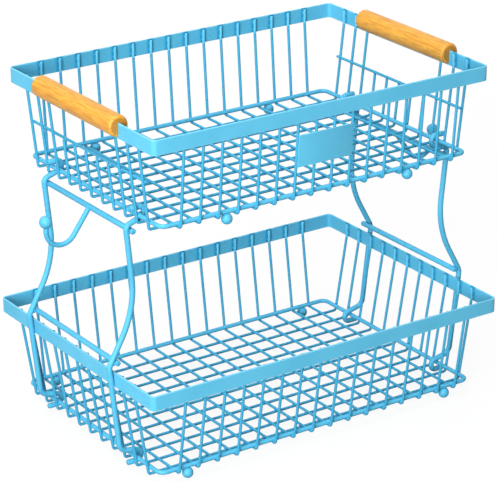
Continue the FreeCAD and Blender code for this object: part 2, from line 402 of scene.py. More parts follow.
@dataclass
class Surface:
    """Vertices in millimetres, groups of faces by their corners, and values of the vertices."""

    vertices: Array
    faces: list[Array]
    values: dict[str, Array] = field(default_factory=dict)

    def with_painted_shade(self, shade_share: Numbers) -> "Surface":
        """Set the share of painted shade in the coat's colour, from 0 to 1, for the whole surface or each
        vertex.
        """
        self.values["pooled_coat"] = np.broadcast_to(shade_share, len(self.vertices))
        return self

    def copies(self, moves: Array, sizes: Numbers = 1.0) -> "Surface":
        """Scale the surface and repeat it at each move.

        Args:
            moves: One offset in millimetres for each copy, shape (copies, 3).
            sizes: One scale, or three for each copy, shape (copies, 1, 3).

        Returns:
            All the copies as one surface.
        """
        number = len(moves)
        vertices = (self.vertices * sizes + moves[:, None, :]).reshape(-1, 3)
        starts = np.arange(number)[:, None, None] * len(self.vertices)
        faces = [(group + starts).reshape(-1, group.shape[1]) for group in self.faces]
        values = {name: np.tile(value, number) for name, value in self.values.items()}
        return Surface(vertices, faces, values)


def spots(x: Numbers, y: Numbers, z: Numbers) -> Array:
    """Points from coordinates that are spread to one shape, as rows of three."""
    return np.stack(np.broadcast_arrays(x, y, z), axis=-1).reshape(-1, 3)


def unit(way: Array) -> Array:
    """A way at length 1."""
    return way / np.linalg.norm(way)


@dataclass(frozen=True)
class Track:
    """Places and headings along a flat path."""

    places: Array
    headings: Array

    def with_samples(self, points: Array) -> "Track":
        """Add samples to a closed path round the Z axis, in order of the angle round it.

        Args:
            points: Points on straight runs of the path, shape (points, 3).

        Returns:
            The path with all its samples. A new one has the heading of the run that it lies on.
        """
        places = np.concatenate([self.places, points])
        angles = (np.arctan2(places[:, 1], places[:, 0]) + math.pi / 2) % (2.0 * math.pi)
        order = np.argsort(angles)
        before = np.searchsorted(angles[:len(self.places)], angles[order], side="right") - 1
        return Track(places[order], self.headings[before])


def bent_track(points: Path, radii: Sequence[float] = (), arc_steps: int = 1) -> Track:
    """Sample straight runs joined by tangent arcs.

    Each corner's arc starts radius * tan(half its turn) before the corner. Its points are the centre
    plus radius * (sin a * incoming heading - cos a * inward way), with a from zero to the turn.

    Args:
        points: Corners of the path, the two ends included.
        radii: Bend radius at each inner corner.
        arc_steps: Steps in each arc.

    Returns:
        The sampled path, with exact headings.
    """
    corners = np.asarray(points, dtype=float)
    places, headings = [corners[:1]], [unit(corners[1] - corners[0])[None, :]]
    share = np.linspace(0.0, 1.0, arc_steps + 1)[:, None]
    for before, corner, after, radius in zip(corners, corners[1:], corners[2:], radii):
        heading, leaving = unit(corner - before), unit(after - corner)
        turn = math.acos(float(np.clip(heading @ leaving, -1.0, 1.0)))
        inward = unit(leaving - (leaving @ heading) * heading)
        centre = corner - heading * radius * math.tan(turn / 2) + inward * radius
        angle = share * turn
        places.append(centre + radius * (np.sin(angle) * heading - np.cos(angle) * inward))
        headings.append(np.cos(angle) * heading + np.sin(angle) * inward)
    places.append(corners[-1:])
    headings.append(unit(corners[-1] - corners[-2])[None, :])
    return Track(np.concatenate(places), np.concatenate(headings))


def ring_track(x: float, y: float, radius: float, height: float, arc_steps: int) -> Track:
    """Closed rectangle with round corners, level, anticlockwise from above.

    Args:
        x: Half its size along X.
        y: Half its size along Y.
        radius: Radius of the corners.
        height: Z of the path.
        arc_steps: Steps in each corner.

    Returns:
        The path, whose first place isn't repeated at its end.
    """
    corners = [(0, -y), (x, -y), (x, y), (-x, y), (-x, -y), (0, -y)]
    track = bent_track([(a, b, height) for a, b in corners], [radius] * 4, arc_steps)
    return Track(track.places[:-1], track.headings[:-1])


@dataclass(frozen=True)
class Section:
    """Cross-section as a core outline plus a radius times an outward way at each point.

    A round wire has its core at the centre. A flat strip has the centres of its edge roundings as
    core. The edge values say where the coat is thin.
    """

    core: Array
    ways: Array
    radius: float
    edge: Array


def round_section(diameter: float, sides: int) -> Section:
    """Circle: core zero, way (cos a, sin a).

    Args:
        diameter: Diameter of the wire.
        sides: Number of points.

    Returns:
        The section.
    """
    angle = np.linspace(0.0, 2.0 * math.pi, sides, endpoint=False)
    ways = np.stack([np.cos(angle), np.sin(angle)], axis=1)
    return Section(np.zeros_like(ways), ways, diameter / 2, np.zeros(sides))


def strip_section(thickness: float, height: float, edge_radius: float) -> Section:
    """Flat strip with rounded edges, and a close pair of points where each tall flat begins.

    The core runs round the four corner centres. The way at a step of a corner is (cos a, sin a),
    with a turning a quarter from one flat's normal to the next.

    Args:
        thickness: Size along the first axis of the section.
        height: Size along the second axis.
        edge_radius: Radius of the edges.

    Returns:
        The section, with edge 1 on the roundings and 0 on the flats.
    """
    a, b = thickness / 2 - edge_radius, height / 2 - edge_radius
    points = EDGE_STEPS + 1
    quarter = np.linspace(0.0, math.pi / 2, points)
    angles = np.concatenate([quarter + turn * math.pi / 2 for turn in range(4)])
    ways = np.stack([np.cos(angles), np.sin(angles)], axis=1)
    core = np.repeat([(a, b), (-a, b), (-a, -b), (a, -b)], points, axis=0)
    # One more point on each end of a tall flat keeps its shading flat.
    low = b - min(edge_radius, b / 2)
    flat_core = [(a, low), (-a, low), (-a, -low), (a, -low)]
    flat_ways = [X_WAY[:2], -X_WAY[:2], -X_WAY[:2], X_WAY[:2]]
    at = [0, 2 * points, 2 * points, 4 * points]
    edge = np.insert(np.ones(len(core)), at, 0.0)
    core, ways = np.insert(core, at, flat_core, axis=0), np.insert(ways, at, flat_ways, axis=0)
    return Section(core, ways, edge_radius, edge)


def grid_faces(rows: int, columns: int, closed: bool) -> Array:
    """Quads of a grid that wraps round along its columns, and along its rows if closed.

    Args:
        rows: Number of rows of points.
        columns: Points in each row.
        closed: Whether the last row joins the first.

    Returns:
        Vertex numbers, one row of four for each quad.
    """
    row = np.arange(rows if closed else rows - 1)[:, None]
    column = np.arange(columns)[None, :]
    here, beyond = row * columns, (row + 1) % rows * columns
    after = (column + 1) % columns
    quads = np.stack([here + column, here + after, beyond + after, beyond + column], axis=-1)
    return quads.reshape(-1, 4)


def rounded_edge(radius: float, steps: int) -> tuple[Array, Array]:
    """Quarter circle at an end: radius * (1 - cos a) and radius * (1 - sin a), a from 0 to a quarter turn.

    Args:
        radius: Radius of the edge.
        steps: Number of points.

    Returns:
        Distance of each point from the end, and how far it lies inside the full section.
    """
    angle = np.linspace(0.0, math.pi / 2, steps)
    return radius * (1.0 - np.cos(angle)), radius * (1.0 - np.sin(angle))


def swept(
    track: Track, section: Section, plane_normal: Array, closed: bool = False, rounding: float = 0.0
) -> Surface:
    """Carry a section along a flat path.

    The point at path step i and section step j is the place i plus (core j + radius i * way j) laid
    on the side way and the plane's normal, with the side way = normal x heading. At an open end the
    radius grows as a quarter circle of the rounding, so that a cut end has a rounded edge.

    Args:
        track: Path.
        section: Cross-section.
        plane_normal: Normal of the path's plane.
        closed: Whether the path joins its own start.
        rounding: Radius of the edge at the two ends.

    Returns:
        The surface, with its thin_coat and underside values, and no painted shade yet.
    """
    places, headings = track.places, track.headings
    radius = np.full(len(places), section.radius)
    if rounding:
        reach, fall = rounded_edge(rounding, CUT_STEPS)
        grown = section.radius - fall
        start = places[0] + headings[0] * reach[:, None]
        end = (places[-1] - headings[-1] * reach[:, None])[::-1]
        first, last = (np.repeat(heading, CUT_STEPS, axis=0) for heading in (headings[:1], headings[-1:]))
        places = np.concatenate([start, places[1:-1], end])
        headings = np.concatenate([first, headings[1:-1], last])
        radius = np.concatenate([grown, radius[1:-1], grown[::-1]])
    side = np.cross(plane_normal[None, :], headings)
    flat = section.core[None, :, :] + radius[:, None, None] * section.ways[None, :, :]
    vertices = places[:, None, :] + flat[..., :1] * side[:, None, :] + flat[..., 1:] * plane_normal
    rows, columns = flat.shape[:2]
    faces = [grid_faces(rows, columns, closed)]
    if not closed:
        around = np.arange(columns)
        faces.append(np.stack([around[::-1], (rows - 1) * columns + around]))
    # How far each point faces down; the coat paints shade on undersides by it.
    rise = side[:, 2:] * section.ways[None, :, 0] + plane_normal[2] * section.ways[None, :, 1]
    values = {
        "thin_coat": np.tile(section.edge, rows),
        "pooled_coat": np.zeros(rows * columns),
        "underside": np.clip(-rise, 0.0, 1.0).ravel(),
    }
    return Surface(vertices.reshape(-1, 3), faces, values)


def unit_ball(rows: int, columns: int) -> Surface:
    """Sphere of radius 1: (sin p cos a, sin p sin a, cos p), with the two poles as single points.

    Args:
        rows: Rings between the poles.
        columns: Points on each ring.

    Returns:
        The surface, with its thin_coat and underside values, and no painted shade yet.
    """
    polar = np.linspace(0.0, math.pi, rows + 2)[1:-1, None]
    angle = np.linspace(0.0, 2.0 * math.pi, columns, endpoint=False)
    rings = spots(np.sin(polar) * np.cos(angle), np.sin(polar) * np.sin(angle), np.cos(polar))
    vertices = np.concatenate([rings, [Z_WAY, -Z_WAY]])
    top = rows * columns
    column = np.arange(columns)
    after = (column + 1) % columns
    last = top - columns
    quads = grid_faces(rows, columns, False)[:, ::-1]
    fan = np.stack([np.full(columns, top), column, after], axis=1)
    under = np.stack([np.full(columns, top + 1), last + after, last + column], axis=1)
    flat = np.zeros(len(vertices))
    values = {"thin_coat": flat, "pooled_coat": flat, "underside": np.clip(-vertices[:, 2], 0.0, 1.0)}
    return Surface(vertices, [quads, fan, under], values)


def weld_beads(*joints: tuple[Bead, Numbers, Numbers, Numbers]) -> Surface:
    """Weld metal squeezed out where pieces touch: a unit ball times the half sizes of each bead.

    Args:
        joints: Kinds of joint, each with the X, Y and Z of its contacts, which are spread to one shape.

    Returns:
        All the beads as one surface.
    """
    moves = [spots(*contacts) for _, *contacts in joints]
    sizes = [np.tile(kind.value, (len(rows), 1)) for (kind, *_), rows in zip(joints, moves)]
    beads = unit_ball(*BEAD_GRID).copies(np.concatenate(moves), np.concatenate(sizes)[:, None, :])
    # The beads get painted shade, in place of the shade in the crevices.
    return beads.with_painted_shade(BEAD_SHADE_SHARE)


@dataclass
class Piece:
    """Named surface in one material slot, with the CAD nodes that it stands for."""

    name: str
    surface: Surface
    replaced: Sequence[str] = ()
    slot: Slot = Slot.COAT

    def build(self, finish: bpy.types.Material) -> bpy.types.Object:
        """Make a smooth-shaded object, which rides on the basket's body.

        Args:
            finish: Its material.

        Returns:
            The object.
        """
        mesh = bpy.data.meshes.new(self.name)
        faces = list(chain.from_iterable(group.tolist() for group in self.surface.faces))
        mesh.from_pydata((self.surface.vertices * METRES_PER_MM).tolist(), [], faces, shade_flat=False)
        for name, value in self.surface.values.items():
            attribute = mesh.attributes.new(name, "FLOAT", "POINT")
            attribute.data.foreach_set("value", value.astype(np.float32))
        mesh.set_sharp_from_angle(angle=math.radians(SHARP_DEGREES))
        mesh.materials.append(finish)
        mesh.validate()
        piece = bpy.data.objects.new(self.name, mesh)
        bpy.context.scene.collection.objects.link(piece)
        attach(piece, BODY)
        if self.replaced:
            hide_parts(*self.replaced)
        return piece


# Sub-assemblies


@dataclass(frozen=True)
class SteelStock:
    """Round and flat steel that the basket is bent and welded from, and how much painted shade its coat
    gets.
    """

    wire: float = 2.6
    rod: float = 4.0
    leg: float = 5.0
    rail: float = 5.0
    fruit_hook: float = 4.5
    band_height: float = 13.8
    band_thickness: float = 1.5
    band_edge: float = 0.5
    weld_gap: float = 0.05
    wire_cut_edge: float = 0.45
    bar_cut_edge: float = 0.72
    # Shares of painted shade: on wire below the band, on rods, legs and balls, and over the inner faces of
    # the rim.
    wire_shade_share: float = 0.62
    rod_shade_share: float = 0.28
    inner_shade_share: float = 0.12

    @property
    def wrap(self) -> float:
        """Distance between the axes of the base rod and a wire that touches it."""
        return self.rod / 2 + self.wire / 2 + self.weld_gap

    def bar(self, track: Track, diameter: float, normal: Array, cut_edge: float) -> Surface:
        """Round bar along a path in the plane with this normal."""
        section = round_section(diameter, BAR_SIDES)
        return swept(track, section, normal, rounding=cut_edge).with_painted_shade(self.rod_shade_share)

    def ball(self, centre: Point, diameter: float) -> Surface:
        """Ball at a place, a unit ball times its radius."""
        return unit_ball(*BALL_GRID).copies(np.array([centre]), diameter / 2).with_painted_shade(self.rod_shade_share)


@dataclass(frozen=True)
class Wall:
    """Two facing walls of a basket: how far the base rod and the wires lie from the middle.

    The wires stand upright behind the band, and lean inward below it by an angle in radians.
    """

    out: Array
    along: Array
    rod: float
    wire: float
    lean: float
    band_bottom: float

    def wire_at(self, height: float) -> float:
        """Distance of a wire's axis from the middle, at a height."""
        return self.wire - max(self.band_bottom - height, 0.0) * math.tan(self.lean)


@dataclass
class WireBasket:
    """One open basket: rim band, base rod, wires both ways and ball feet."""

    tier: str
    length: float
    width: float
    height: float
    floor: float
    end_flare: float
    side_flare: float
    cross_inset: float
    length_inset: float
    foot_gap: int
    short_wires: int = 0
    rail_drop: float = 45.3
    stock: SteelStock = field(default_factory=SteelStock)
    cross_count: int = 16
    length_count: int = 11
    rim_corner: float = 4.5
    rod_corner: float = 6.5
    foot_diameter: float = 10.0
    foot_seat: float = 0.6
    wire_top_gap: float = 1.0
    kink_radius: float = 12.0
    length_bend: float = 2.4
    # Width and sample places of the painted shade beside each wire on the rim.
    seam_width: float = 2.0
    seam_sample_shares: tuple[float, ...] = (0.0, 0.5, 1.0, 1.6, 2.3)
    rim_weld_shares: Pair = (0.3, 0.74)

    def __post_init__(self) -> None:
        """Work out the heights, the walls and the places of the wires and feet."""
        stock = self.stock
        self.rim_top = self.floor + self.height
        self.band_bottom = self.rim_top - stock.band_height
        self.rail_z = self.rim_top - self.rail_drop
        self.rod_z = self.floor + self.foot_diameter - self.foot_seat + stock.rod / 2
        # The crosswise wires lie under the base rod, and the lengthwise wires under them.
        self.cross_z = self.rod_z - stock.wrap
        self.length_z = self.cross_z - stock.wire - stock.weld_gap
        self.ends = self.wall(X_WAY, Y_WAY, self.length, self.end_flare)
        self.sides = self.wall(Y_WAY, X_WAY, self.width, self.side_flare)
        across, along = self.ends.rod - self.cross_inset, self.sides.rod - self.length_inset
        self.cross_places = np.linspace(-across, across, self.cross_count)
        self.length_places = np.linspace(-along, along, self.length_count)
        # The middle lengthwise wires stop at the hand holds, and the others reach the rim.
        from_middle = np.abs(np.arange(self.length_count) - (self.length_count - 1) / 2)
        self.is_short = from_middle < self.short_wires / 2
        self.tall_places = self.length_places[~self.is_short]
        # The feet stand in the middle of a gap between crosswise wires.
        pitch = self.cross_places[1] - self.cross_places[0]
        self.foot_x = float(self.cross_places[-1] - (self.foot_gap - 0.5) * pitch)

    def wall(self, out: Array, along: Array, size: float, flare: float) -> Wall:
        """Lean the wires so that they touch the base rod and meet the foot of the band.

        Args:
            out: Way out of one wall.
            along: Way along it.
            size: Distance between the outsides of the two bands.
            flare: How far the band stands out past the base rod's axis.

        Returns:
            The pair of walls.
        """
        stock = self.stock
        rod = size / 2 - flare
        wire = size / 2 - (stock.band_thickness + stock.weld_gap + stock.wire / 2)
        stand_out, rise = wire - rod, self.band_bottom - self.rod_z
        lean = math.atan2(stand_out, rise) - math.asin(stock.wrap / math.hypot(stand_out, rise))
        return Wall(out, along, rod, wire, lean, self.band_bottom)

    def wire(self, points: Path, normal: Array, radii: Sequence[float] = ()) -> Surface:
        """Bend a wire, which gets painted shade below the band.

        Args:
            points: Corners of the wire's axis, the two ends included.
            normal: Normal of the wire's plane.
            radii: Bend radius at each inner corner.

        Returns:
            The wire.
        """
        stock = self.stock
        track = bent_track(points, radii, WIRE_BEND_STEPS)
        bent = swept(track, round_section(stock.wire, WIRE_SIDES), normal, rounding=stock.wire_cut_edge)
        return bent.with_painted_shade(stock.wire_shade_share * (bent.vertices[:, 2] < self.band_bottom))

    def wire_set(self, wall: Wall, heights: Sequence[float], bend: float, places: Array) -> Surface:
        """Bend a flat-bottomed U of wire from wall to wall, and copy it side by side.

        Args:
            wall: The two walls.
            heights: Height of each corner, from a tip to the bottom.
            bend: Bend radius at the bottom.
            places: Place of each copy along the walls.

        Returns:
            All the copies.
        """
        corners = [(wall.wire_at(height) * wall.out, height * Z_WAY) for height in heights]
        points = [up - out for out, up in corners] + [up + out for out, up in reversed(corners)]
        radii = [self.kink_radius] * (len(heights) - 2) + [bend]
        return self.wire(points, wall.along, radii + radii[::-1]).copies(places[:, None] * wall.along)

    def seam_shade(self, vertices: Array) -> Array:
        """How much painted shade lies on the inner face of the rim: a little all over it, and most beside
        each wire, where the wire shades the band.

        It falls off as exp(-(d / width) ** 2), with d the distance from the edge of the nearest wire.

        Args:
            vertices: Points of the rim, shape (points, 3).

        Returns:
            A value from 0 to 1 for each point.
        """
        stock = self.stock
        in_x = self.length / 2 - np.abs(vertices[:, 0])
        in_y = self.width / 2 - np.abs(vertices[:, 1])
        from_cross = np.abs(vertices[:, :1] - self.cross_places).min(axis=1)
        from_length = np.abs(vertices[:, 1:2] - self.tall_places).min(axis=1)
        off = np.maximum(np.where(in_y < in_x, from_cross, from_length) - stock.wire / 2, 0.0)
        seam = np.exp(-((off / self.seam_width) ** 2))
        base = stock.inner_shade_share
        return (base + (1.0 - base) * seam) * (np.minimum(in_x, in_y) > stock.band_thickness / 2)

    def rim_surface(self) -> Surface:
        """Strip section carried round the rim, with samples on both sides of each wire for the painted
        shade there.

        Returns:
            The rim band.
        """
        stock, thickness = self.stock, self.stock.band_thickness
        level = self.rim_top - stock.band_height / 2
        x, y = (self.length - thickness) / 2, (self.width - thickness) / 2
        track = ring_track(x, y, self.rim_corner - thickness / 2, level, RIM_BEND_STEPS)
        steps = stock.wire / 2 + self.seam_width * np.array(self.seam_sample_shares)
        beside = np.concatenate([-steps, steps])
        seams = [
            spots((self.cross_places[:, None] + beside).ravel(), BOTH_SIGNS * y, level),
            spots(BOTH_SIGNS * x, (self.tall_places[:, None] + beside).ravel(), level),
        ]
        section = strip_section(thickness, stock.band_height, stock.band_edge)
        rim = swept(track.with_samples(np.concatenate(seams)), section, Z_WAY, closed=True)
        return rim.with_painted_shade(self.seam_shade(rim.vertices))

    def rod_surface(self) -> Surface:
        """Round section carried round the base.

        Returns:
            The base rod.
        """
        track = ring_track(self.ends.rod, self.sides.rod, self.rod_corner, self.rod_z, BAR_BEND_STEPS)
        rod = swept(track, round_section(self.stock.rod, ROD_SIDES), Z_WAY, closed=True)
        return rod.with_painted_shade(self.stock.rod_shade_share)

    def weld_surface(self) -> Surface:
        """Beads at the floor crossings, along the base rod, behind the rim and over the feet.

        Returns:
            All the beads of the basket.
        """
        stock, ends, sides = self.stock, self.ends, self.sides
        across, along = self.cross_places, self.length_places
        touch = stock.rod / 2 + stock.weld_gap / 2
        # A crosswise wire bends round the rod, and its bead lies halfway round the bend.
        low = touch * math.sqrt(0.5)
        out, down = touch * math.cos(ends.lean), touch * math.sin(ends.lean)
        joints = [
            (Bead.CROSSING, across, along[:, None], (self.cross_z + self.length_z) / 2),
            (Bead.ROD_SIDE, across, BOTH_SIGNS * (sides.rod + low), self.rod_z - low),
            (Bead.ROD_END, BOTH_SIGNS * (ends.rod + out), along, self.rod_z - down),
        ]
        side_seam, end_seam = (BOTH_SIGNS * (wall.wire + stock.wire / 2) for wall in (sides, ends))
        for share in self.rim_weld_shares:
            height = self.rim_top - share * stock.band_height
            joints.append((Bead.RIM_SIDE, across, side_seam, height))
            joints.append((Bead.RIM_END, end_seam, self.tall_places, height))
        foot_y = BOTH_SIGNS.ravel() * sides.rod
        joints.append((Bead.FOOT, BOTH_SIGNS * self.foot_x, foot_y, self.rod_z - stock.rod / 2))
        return weld_beads(*joints)

    def pieces(self) -> list[Piece]:
        """All the basket's pieces.

        Returns:
            The pieces, each with the CAD node that it stands for.
        """
        tier, bend, top = self.tier, self.length_bend, self.rim_top - self.wire_top_gap
        cross_heights, length_heights = ((top, self.band_bottom, z) for z in (self.cross_z, self.length_z))
        cross_set = self.wire_set(self.sides, cross_heights, self.stock.wrap, self.cross_places)
        length_set = self.wire_set(self.ends, length_heights, bend, self.tall_places)
        pieces = [
            Piece(tier + "_rim_strip", self.rim_surface(), [tier + "_rim_band"]),
            Piece(tier + "_ring_rod", self.rod_surface(), [tier + "_base_rod"]),
            Piece(tier + "_crosswise_set", cross_set, [tier + "_cross_wires"]),
            Piece(tier + "_lengthwise_set", length_set, [tier + "_length_wires"]),
            Piece(tier + "_weld_beads", self.weld_surface()),
        ]
        if self.short_wires:
            places = self.length_places[self.is_short]
            short_set = self.wire_set(self.ends, (self.rail_z, self.length_z), bend, places)
            pieces.append(Piece(tier + "_short_set", short_set, [tier + "_hand_hold_wires"]))
        for side in Side:
            for face in Face:
                x, y = side.value * self.foot_x, face.value * self.sides.rod
                foot = self.stock.ball((x, y, self.floor + self.foot_diameter / 2), self.foot_diameter)
                place = f"{face.word}_{side.word}"
                pieces.append(Piece(f"{tier}_ball_{place}", foot, [f"{tier}_{place}_foot"]))
        return pieces


@dataclass
class HandHold:
    """Grip rail and slotted wooden grip in one end wall of the upper basket."""

    basket: WireBasket
    side: Side
    rail_overhang: float = 0.3
    short_weld_drop: float = 0.5
    grip_diameter: float = 19.0
    grip_length: float = 130.0
    grip_rise: float = 6.5
    grip_edge: float = 2.5
    grip_fit: float = 0.15
    end_grain_share: float = 0.7
    edge_steps: int = 9
    run_steps: int = 25
    round_steps: int = 49
    wall_steps: int = 6

    def rail_surfaces(self) -> tuple[Surface, Surface]:
        """Straight round wire along Y inside the wall, and the beads where the wires cross it.

        Returns:
            The grip rail and its beads.
        """
        basket, sign = self.basket, self.side.value
        stock, ends, z = basket.stock, basket.ends, basket.rail_z
        apart = stock.wire + stock.weld_gap
        x = sign * (ends.wire_at(z) - apart / math.cos(ends.lean))
        half = float(basket.length_places[-1]) + stock.wire / 2 + self.rail_overhang
        bead_x = sign * (ends.wire_at(z) - apart / 2)
        bead_z = z - np.where(basket.is_short, self.short_weld_drop, 0.0)
        beads = weld_beads((Bead.GRIP_WIRE, bead_x, basket.length_places, bead_z))
        return basket.wire([(x, -half, z), (x, half, z)], X_WAY), beads

    def grip_surface(self) -> Surface:
        """Round bar with a slot from below, its section carried along Y.

        The section is a circle from one lip of the slot round to the other, then the slot's walls and
        roof. Near an end the circle's radius falls as a quarter circle of the edge's size, and the
        lips follow the circle. The walls go straight from the lip to the roof.

        Returns:
            The grip, with its end_grain values.
        """
        basket = self.basket
        radius, edge, half = self.grip_diameter / 2, self.grip_edge, self.grip_length / 2
        axis_x = self.side.value * (basket.length - basket.stock.band_thickness) / 2
        axis_z = basket.rim_top + self.grip_rise - radius
        slot = basket.stock.band_thickness / 2 + self.grip_fit
        roof = basket.rim_top + self.grip_fit - axis_z
        reach, fall = rounded_edge(edge, self.edge_steps)
        inner = np.linspace(-half + edge, half - edge, self.run_steps)[1:-1]
        y = np.concatenate([-half + reach, inner, (half - reach)[::-1]])
        r = radius - np.concatenate([fall, 0.0 * inner, fall[::-1]])
        lip = np.arcsin(slot / r)[:, None]
        share = np.linspace(0.0, 1.0, self.round_steps)
        angle = -math.pi / 2 + lip + share * (2.0 * math.pi - 2.0 * lip)
        round_x, round_z = r[:, None] * np.cos(angle), r[:, None] * np.sin(angle)
        up = np.linspace(0.0, 1.0, self.wall_steps)[1:]
        wall_z = round_z[:, -1:] + up * (roof - round_z[:, -1:])
        wall_x = np.full_like(wall_z, slot)
        x = axis_x + np.concatenate([round_x, -wall_x, wall_x], axis=1)
        z = axis_z + np.concatenate([round_z, wall_z, wall_z[:, ::-1]], axis=1)
        rows, columns = x.shape
        around = np.arange(columns)
        caps = np.stack([around, (rows - 1) * columns + around[::-1]])
        ends = np.zeros((rows, columns))
        ends[[0, -1], :] = self.end_grain_share
        faces = [grid_faces(rows, columns, False)[:, ::-1], caps]
        return Surface(spots(x, y[:, None], z), faces, {"end_grain": ends.ravel()})

    def pieces(self) -> list[Piece]:
        """The rail, its welds and the grip."""
        word, (rail, beads) = self.side.word, self.rail_surfaces()
        return [
            Piece(word + "_grip_wire", rail, [word + "_grip_rail"]),
            Piece(word + "_grip_wire_beads", beads),
            Piece(word + "_wood_grip", self.grip_surface(), [word + "_handle"], Slot.WOOD),
        ]


@dataclass
class LabelPlate:
    """Blank plate on the outside of the front wires of the upper basket."""

    basket: WireBasket
    pitches: int = 3
    height: float = 30.0
    thickness: float = 1.0
    drop: float = 39.6
    edge: float = 0.35

    def surface(self) -> Surface:
        """Strip section carried along X, leaning with the wires, and rounded at its two ends.

        Returns:
            The plate.
        """
        basket = self.basket
        stock, wall, places = basket.stock, basket.sides, basket.cross_places
        half = X_WAY * (places[1] - places[0]) * self.pitches / 2
        middle_z = basket.rim_top - self.drop
        off = stock.wire / 2 + stock.weld_gap + self.thickness / 2
        outward = np.array([0.0, -math.cos(wall.lean), -math.sin(wall.lean)])
        upward = np.array([0.0, -math.sin(wall.lean), math.cos(wall.lean)])
        middle = np.array([0.0, -wall.wire_at(middle_z), middle_z]) + outward * off
        section = strip_section(self.thickness, self.height, self.edge)
        return swept(bent_track([middle - half, middle + half]), section, upward, rounding=self.edge)

    def pieces(self) -> list[Piece]:
        """The plate, as a list of one."""
        return [Piece("name_plate_blank", self.surface(), ["label_plate"])]


@dataclass
class Stand:
    """Stand at one end: two hooked legs, two cross rails and a fruit hook with a ball tip."""

    upper: WireBasket
    lower: WireBasket
    side: Side
    leg_gap_share: float = 0.72
    top_slope_degrees: float = 19.0
    bottom_slope_degrees: float = 12.0
    hook_clearance: float = 0.3
    hook_headroom: float = 1.4
    hook_inset: float = 2.3
    stub_reach: float = 6.5
    top_reach: float = 10.9
    top_bend: float = 5.0
    waist_inset: float = 7.9
    waist_height_share: float = 0.39
    waist_bend: float = 89.0
    kink_height: float = 5.5
    kink_bend: float = 12.0
    rim_clearance: float = 0.35
    bottom_reach: float = 13.5
    bottom_bend: float = 9.0
    rail_stub: float = 3.5
    top_rail_drop: float = 5.3
    rim_rail_height: float = 8.5
    fruit_reach: float = 43.5
    fruit_slope_degrees: float = 54.0
    fruit_bend: float = 15.0
    fruit_tip_drop: float = 4.8
    ball_diameter: float = 11.4
    ball_weld_share: float = 0.46

    def __post_init__(self) -> None:
        """Work out the legs' corners and bends, where the rails touch them, and the fruit hook.

        A leg's corners are outward X and Z, from the tip of the top hook to the tip of the bottom hook.
        """
        upper, lower = self.upper, self.lower
        self.stock = upper.stock
        # The legs pass through a gap between lengthwise wires.
        third, second = upper.length_places[-3:-1]
        self.leg_y = float(third + self.leg_gap_share * (second - third))
        top_hook, top_hook_bend = self.hook(upper, -1, self.top_slope_degrees, self.top_reach)
        low_hook, low_hook_bend = self.hook(lower, 1, self.bottom_slope_degrees, self.bottom_reach)
        top, (bottom_x, bottom_z) = top_hook[-1], low_hook[-1]
        waist_z = lower.rim_top + self.waist_height_share * (upper.rod_z - lower.rim_top)
        waist = (top[0] - self.waist_inset, waist_z)
        beside_rim = lower.length / 2 + self.stock.leg / 2 + self.rim_clearance
        lean = (beside_rim - bottom_x) / (lower.band_bottom - bottom_z)
        kink_z = lower.rim_top + self.kink_height
        kink = (bottom_x + lean * (kink_z - bottom_z), kink_z)
        self.corners = [*top_hook, waist, kink, *reversed(low_hook)]
        run_bends = [self.top_bend, self.waist_bend, self.kink_bend, self.bottom_bend]
        self.bends = [top_hook_bend, *run_bends, low_hook_bend]
        self.top_rail = self.rail_place(top[1] - self.top_rail_drop, top, waist)
        self.rim_rail = self.rail_place(lower.rim_top + self.rim_rail_height, waist, kink)
        # The fruit hook goes from the top rail down to its bend and up to its tip.
        _, root_x, root_z = self.top_rail
        root, tip = self.side.value * root_x, self.side.value * (root_x + self.fruit_reach)
        bend_z = root_z - self.fruit_reach * math.tan(math.radians(self.fruit_slope_degrees))
        self.fruit_tip = (tip, 0.0, root_z - self.fruit_tip_drop)
        self.fruit_corners = [(root, 0.0, root_z), (tip, 0.0, bend_z), self.fruit_tip]

    def hook(
        self, basket: WireBasket, sign: int, slope_degrees: float, reach: float
    ) -> tuple[list[Pair], float]:
        """Bend a hook whose limb passes a base rod at a set clearance and slopes inward.

        The stub comes back level on the far side of the rod, so limb and stub meet at the slope's
        angle. Their bend's radius is the distance from that corner times the tangent of half the angle.

        Args:
            basket: Basket that the hook holds.
            sign: 1 where the limb passes over the rod, and -1 where it passes under it.
            slope_degrees: Slope of the limb.
            reach: How far outward the limb goes past the rod.

        Returns:
            Outward X and Z of the tip, the corner and the limb's outer end, and the bend radius.
        """
        stock, rod, slope = self.stock, basket.ends.rod, math.radians(slope_degrees)
        beside = stock.rod / 2 + stock.leg / 2
        limb = (beside + self.hook_clearance) / math.cos(slope)
        stub = beside + self.hook_headroom
        corner = (limb + stub) / math.tan(slope)
        stub_z = basket.rod_z - sign * stub
        outer_z = basket.rod_z + sign * limb + sign * reach * math.tan(slope)
        points = [(rod + self.stub_reach, stub_z), (rod - corner, stub_z), (rod + reach, outer_z)]
        return points, (corner - self.hook_inset) * math.tan(slope / 2)

    def leg_surface(self, face: Face) -> Surface:
        """Round section carried along the leg's bends.

        Args:
            face: Front or back leg.

        Returns:
            The leg.
        """
        points = [(self.side.value * x, face.value * self.leg_y, z) for x, z in self.corners]
        track = bent_track(points, self.bends, BAR_BEND_STEPS)
        return self.stock.bar(track, self.stock.leg, Y_WAY, self.stock.bar_cut_edge)

    def rail_place(self, height: float, above: Pair, below: Pair) -> Point:
        """Where a rail touches the inner side of a leg's run.

        Args:
            height: Z of the rail.
            above: Corner of the leg above the rail.
            below: Corner of the leg below it.

        Returns:
            Outward X of the leg's axis and of the rail's axis, and their height.
        """
        leg_x = below[0] + (height - below[1]) / (above[1] - below[1]) * (above[0] - below[0])
        tilt = math.atan2(above[0] - below[0], above[1] - below[1])
        apart = self.stock.leg / 2 + self.stock.rail / 2 + self.stock.weld_gap
        return leg_x, leg_x - apart / math.cos(tilt), height

